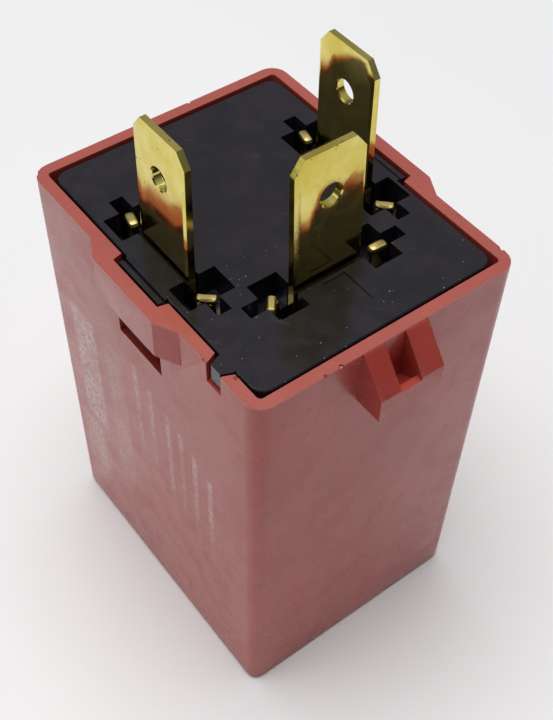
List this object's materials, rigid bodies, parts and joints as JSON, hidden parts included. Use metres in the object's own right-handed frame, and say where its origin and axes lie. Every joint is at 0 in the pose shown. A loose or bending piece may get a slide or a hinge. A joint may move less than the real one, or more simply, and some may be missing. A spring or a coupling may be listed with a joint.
{
  "type": "plug-in relay",
  "caption": "Plug-in automotive relay: red clip-on case, black base with brass blade terminals, and a hinged armature with contacts inside.",
  "frame": {"origin": "middle of the outer face of the case's closed end, the face it rests on", "axes": "+Z out of the closed end towards the blade tips; -Y is the front wall with the key notch; +X is the side with the bracket pocket"},
  "size_m": [0.0325, 0.0264, 0.0534],
  "materials": {
    "red_plastic": "glossy moulded plastic with fine handling scratches and small nicks on the rim",
    "black_plastic": "satin moulded plastic with dust and fine scratches",
    "brass": "bright rolled brass, slightly tarnished near the base",
    "steel": "zinc-plated soft iron",
    "bobbin_plastic": "natural moulded nylon",
    "copper_wire": "enamelled or bare copper wire",
    "tape": "amber insulating tape",
    "silver": "silver alloy contact",
    "spring_bronze": "rolled phosphor bronze",
    "spring_steel": "drawn spring wire",
    "tinned_wire": "tinned wire",
    "board": "resin-bonded board",
    "chip": "moulded epoxy",
    "capacitor": "plastic sleeve",
    "resistor": "lacquered body",
    "diode": "moulded body"
  },
  "bodies": {
    "housing": {"case": "red_plastic", "base": "black_plastic", "terminal_front": "brass", "terminal_rear": "brass", "terminal_side": "brass", "circuit_board": "board", "yoke": "steel", "core": "steel", "bobbin": "bobbin_plastic", "coil_winding": "copper_wire", "coil_tape": "tape", "coil_pin_left": "tinned_wire", "coil_pin_right": "tinned_wire", "fixed_contact": "silver", "return_spring": "spring_steel", "pigtail": "copper_wire", "shunt_wire": "tinned_wire", "timer_chip": "chip", "timing_capacitor": "capacitor", "resistor_low": "resistor", "resistor_mid": "resistor", "resistor_high": "resistor", "diode": "diode"},
    "armature_group": {"armature": "steel", "contact_spring": "spring_bronze", "spring_rivet_near": "steel", "spring_rivet_far": "steel", "moving_contact": "silver"}
  },
  "joints": [
    {"name": "armature_hinge", "type": "hinge", "parent": "housing", "child": "armature_group", "pos_m": [-0.011, -0.001, 0.0295], "axis": [0, 1, 0], "range_deg": [0, 4], "stiffness_Nm_per_rad": 0.05, "springref_deg": -2.86, "deforming": ["return_spring", "pigtail"]}
  ]
}
